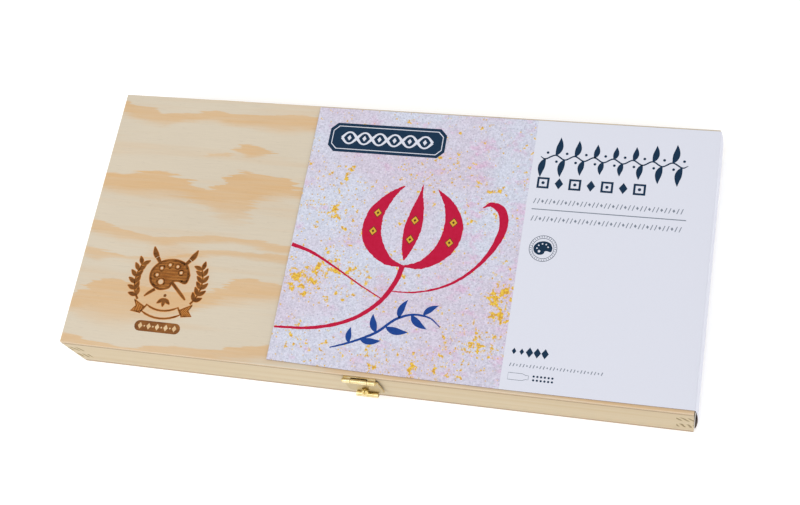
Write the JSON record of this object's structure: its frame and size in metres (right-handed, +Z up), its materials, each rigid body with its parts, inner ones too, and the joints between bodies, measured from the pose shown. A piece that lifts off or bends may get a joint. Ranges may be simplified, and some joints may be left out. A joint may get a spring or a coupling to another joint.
{
  "type": "gouache paint set box",
  "caption": "Flat pine case with a plywood lid on butt hinges, a brass hasp latch, a slide-off card jacket and a tray of gouache tubes with screw caps.",
  "frame": {"origin": "centre of the underside of the case, without the latch, the hinges and the card jacket", "axes": "+X to the right along the length, +Y to the back, +Z up"},
  "size_m": [0.382, 0.1789, 0.0397],
  "materials": {
    "pine": "sanded, unvarnished solid pine",
    "plywood": "sanded, unvarnished pine plywood with bold latewood figure",
    "brass": "bright pressed brass",
    "card": "white coated card, printed in part",
    "tray": "white moulded sheet",
    "tube": "white lacquered collapsible tube",
    "cap": "moulded cap"
  },
  "bodies": {
    "case": {"base_panel": "plywood", "front_wall": "pine", "back_wall": "pine", "left_wall": "pine", "right_wall": "pine", "tray": "tray", "keeper_plate": "brass", "keeper_stud": "brass", "keeper_nails": "brass", "hinge_case_screws": "brass", "hinge_case_leaf_left": "brass", "hinge_pin_left": "brass", "hinge_case_leaf_right": "brass", "hinge_pin_right": "brass", "tube_01": "tube", "tube_02": "tube", "tube_03": "tube", "tube_04": "tube", "tube_05": "tube", "tube_06": "tube", "tube_07": "tube", "tube_08": "tube", "tube_09": "tube", "tube_10": "tube", "tube_11": "tube", "tube_12": "tube"},
    "lid": {"lid_panel": "plywood", "latch_leaf": "brass", "latch_pin": "brass", "lid_screws": "brass", "hinge_lid_leaf_left": "brass", "hinge_lid_leaf_right": "brass"},
    "hasp": {"hasp": "brass"},
    "jacket": {"card_jacket": "card"},
    "cap_01_body": {"cap_01": "cap"},
    "cap_02_body": {"cap_02": "cap"},
    "cap_03_body": {"cap_03": "cap"},
    "cap_04_body": {"cap_04": "cap"},
    "cap_05_body": {"cap_05": "cap"},
    "cap_06_body": {"cap_06": "cap"},
    "cap_07_body": {"cap_07": "cap"},
    "cap_08_body": {"cap_08": "cap"},
    "cap_09_body": {"cap_09": "cap"},
    "cap_10_body": {"cap_10": "cap"},
    "cap_11_body": {"cap_11": "cap"},
    "cap_12_body": {"cap_12": "cap"}
  },
  "joints": [
    {"name": "lid_open", "type": "hinge", "parent": "case", "child": "lid", "pos_m": [0, 0.0864, 0.0352], "axis": [-1, 0, 0], "range_deg": [0, 180]},
    {"name": "hasp_swing", "type": "hinge", "parent": "lid", "child": "hasp", "pos_m": [0.001, -0.0883, 0.0352], "axis": [-1, 0, 0], "range_deg": [0, 170]},
    {"name": "jacket_slide", "type": "slide", "parent": "lid", "child": "jacket", "axis": [1, 0, 0], "range_m": [0, 0.25]},
    {"name": "cap_01_turn", "type": "hinge", "parent": "case", "child": "cap_01_body", "pos_m": [-0.16486, -0.03295, 0.0212], "axis": [0, -1, 0], "continuous": true},
    {"name": "cap_02_turn", "type": "hinge", "parent": "case", "child": "cap_02_body", "pos_m": [-0.13489, -0.03295, 0.0212], "axis": [0, -1, 0], "continuous": true},
    {"name": "cap_03_turn", "type": "hinge", "parent": "case", "child": "cap_03_body", "pos_m": [-0.10491, -0.03295, 0.0212], "axis": [0, -1, 0], "continuous": true},
    {"name": "cap_04_turn", "type": "hinge", "parent": "case", "child": "cap_04_body", "pos_m": [-0.07494, -0.03295, 0.0212], "axis": [0, -1, 0], "continuous": true},
    {"name": "cap_05_turn", "type": "hinge", "parent": "case", "child": "cap_05_body", "pos_m": [-0.04496, -0.03295, 0.0212], "axis": [0, -1, 0], "continuous": true},
    {"name": "cap_06_turn", "type": "hinge", "parent": "case", "child": "cap_06_body", "pos_m": [-0.01499, -0.03295, 0.0212], "axis": [0, -1, 0], "continuous": true},
    {"name": "cap_07_turn", "type": "hinge", "parent": "case", "child": "cap_07_body", "pos_m": [0.01499, -0.03295, 0.0212], "axis": [0, -1, 0], "continuous": true},
    {"name": "cap_08_turn", "type": "hinge", "parent": "case", "child": "cap_08_body", "pos_m": [0.04496, -0.03295, 0.0212], "axis": [0, -1, 0], "continuous": true},
    {"name": "cap_09_turn", "type": "hinge", "parent": "case", "child": "cap_09_body", "pos_m": [0.07494, -0.03295, 0.0212], "axis": [0, -1, 0], "continuous": true},
    {"name": "cap_10_turn", "type": "hinge", "parent": "case", "child": "cap_10_body", "pos_m": [0.10491, -0.03295, 0.0212], "axis": [0, -1, 0], "continuous": true},
    {"name": "cap_11_turn", "type": "hinge", "parent": "case", "child": "cap_11_body", "pos_m": [0.13489, -0.03295, 0.0212], "axis": [0, -1, 0], "continuous": true},
    {"name": "cap_12_turn", "type": "hinge", "parent": "case", "child": "cap_12_body", "pos_m": [0.16486, -0.03295, 0.0212], "axis": [0, -1, 0], "continuous": true}
  ]
}
